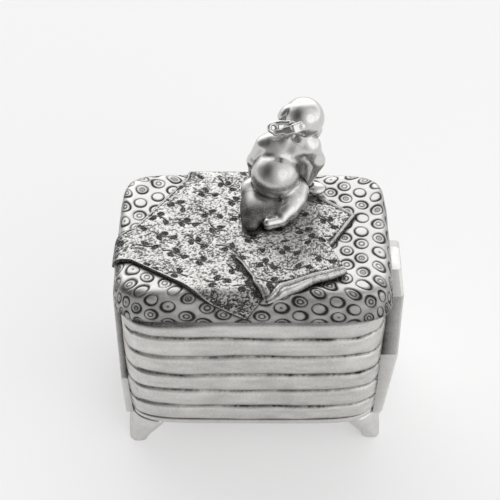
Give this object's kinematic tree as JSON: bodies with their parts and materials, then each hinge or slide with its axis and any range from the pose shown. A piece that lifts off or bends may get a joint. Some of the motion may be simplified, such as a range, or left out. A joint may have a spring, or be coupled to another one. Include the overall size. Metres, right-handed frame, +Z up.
{
  "type": "trinket box",
  "caption": "Cast pewter trinket box shaped as a stack of folded blankets on bracket feet, with a lift-off quilt lid that carries a kneeling baby figure.",
  "frame": {"origin": "under the middle of the whole, at the level of the feet", "axes": "+Z up, X along the box's long side, front towards -Y"},
  "size_m": [0.0763, 0.0506, 0.0884],
  "materials": {
    "pewter_stack": "satin antique pewter, dark in the grooves",
    "pewter_frame": "satin pewter",
    "pewter_quilt": "antique pewter with darkened stamped rings",
    "pewter_blanket": "stippled antique pewter with darkened sprigs",
    "pewter_figure": "polished pewter"
  },
  "bodies": {
    "box": {"base_plate": "pewter_frame", "front_wall": "pewter_stack", "back_wall": "pewter_stack", "left_wall": "pewter_stack", "right_wall": "pewter_stack", "left_end_board": "pewter_frame", "right_end_board": "pewter_frame", "front_left_foot": "pewter_frame", "front_right_foot": "pewter_frame", "back_left_foot": "pewter_frame", "back_right_foot": "pewter_frame"},
    "lid": {"lid_quilt": "pewter_quilt", "lid_rim": "pewter_stack", "blanket": "pewter_blanket", "blanket_flap": "pewter_blanket", "figure_body": "pewter_figure", "figure_head": "pewter_figure"}
  },
  "joints": [
    {"name": "lid_lift", "type": "slide", "parent": "box", "child": "lid", "axis": [0, 0, 1], "range_m": [0, 0.05]}
  ]
}
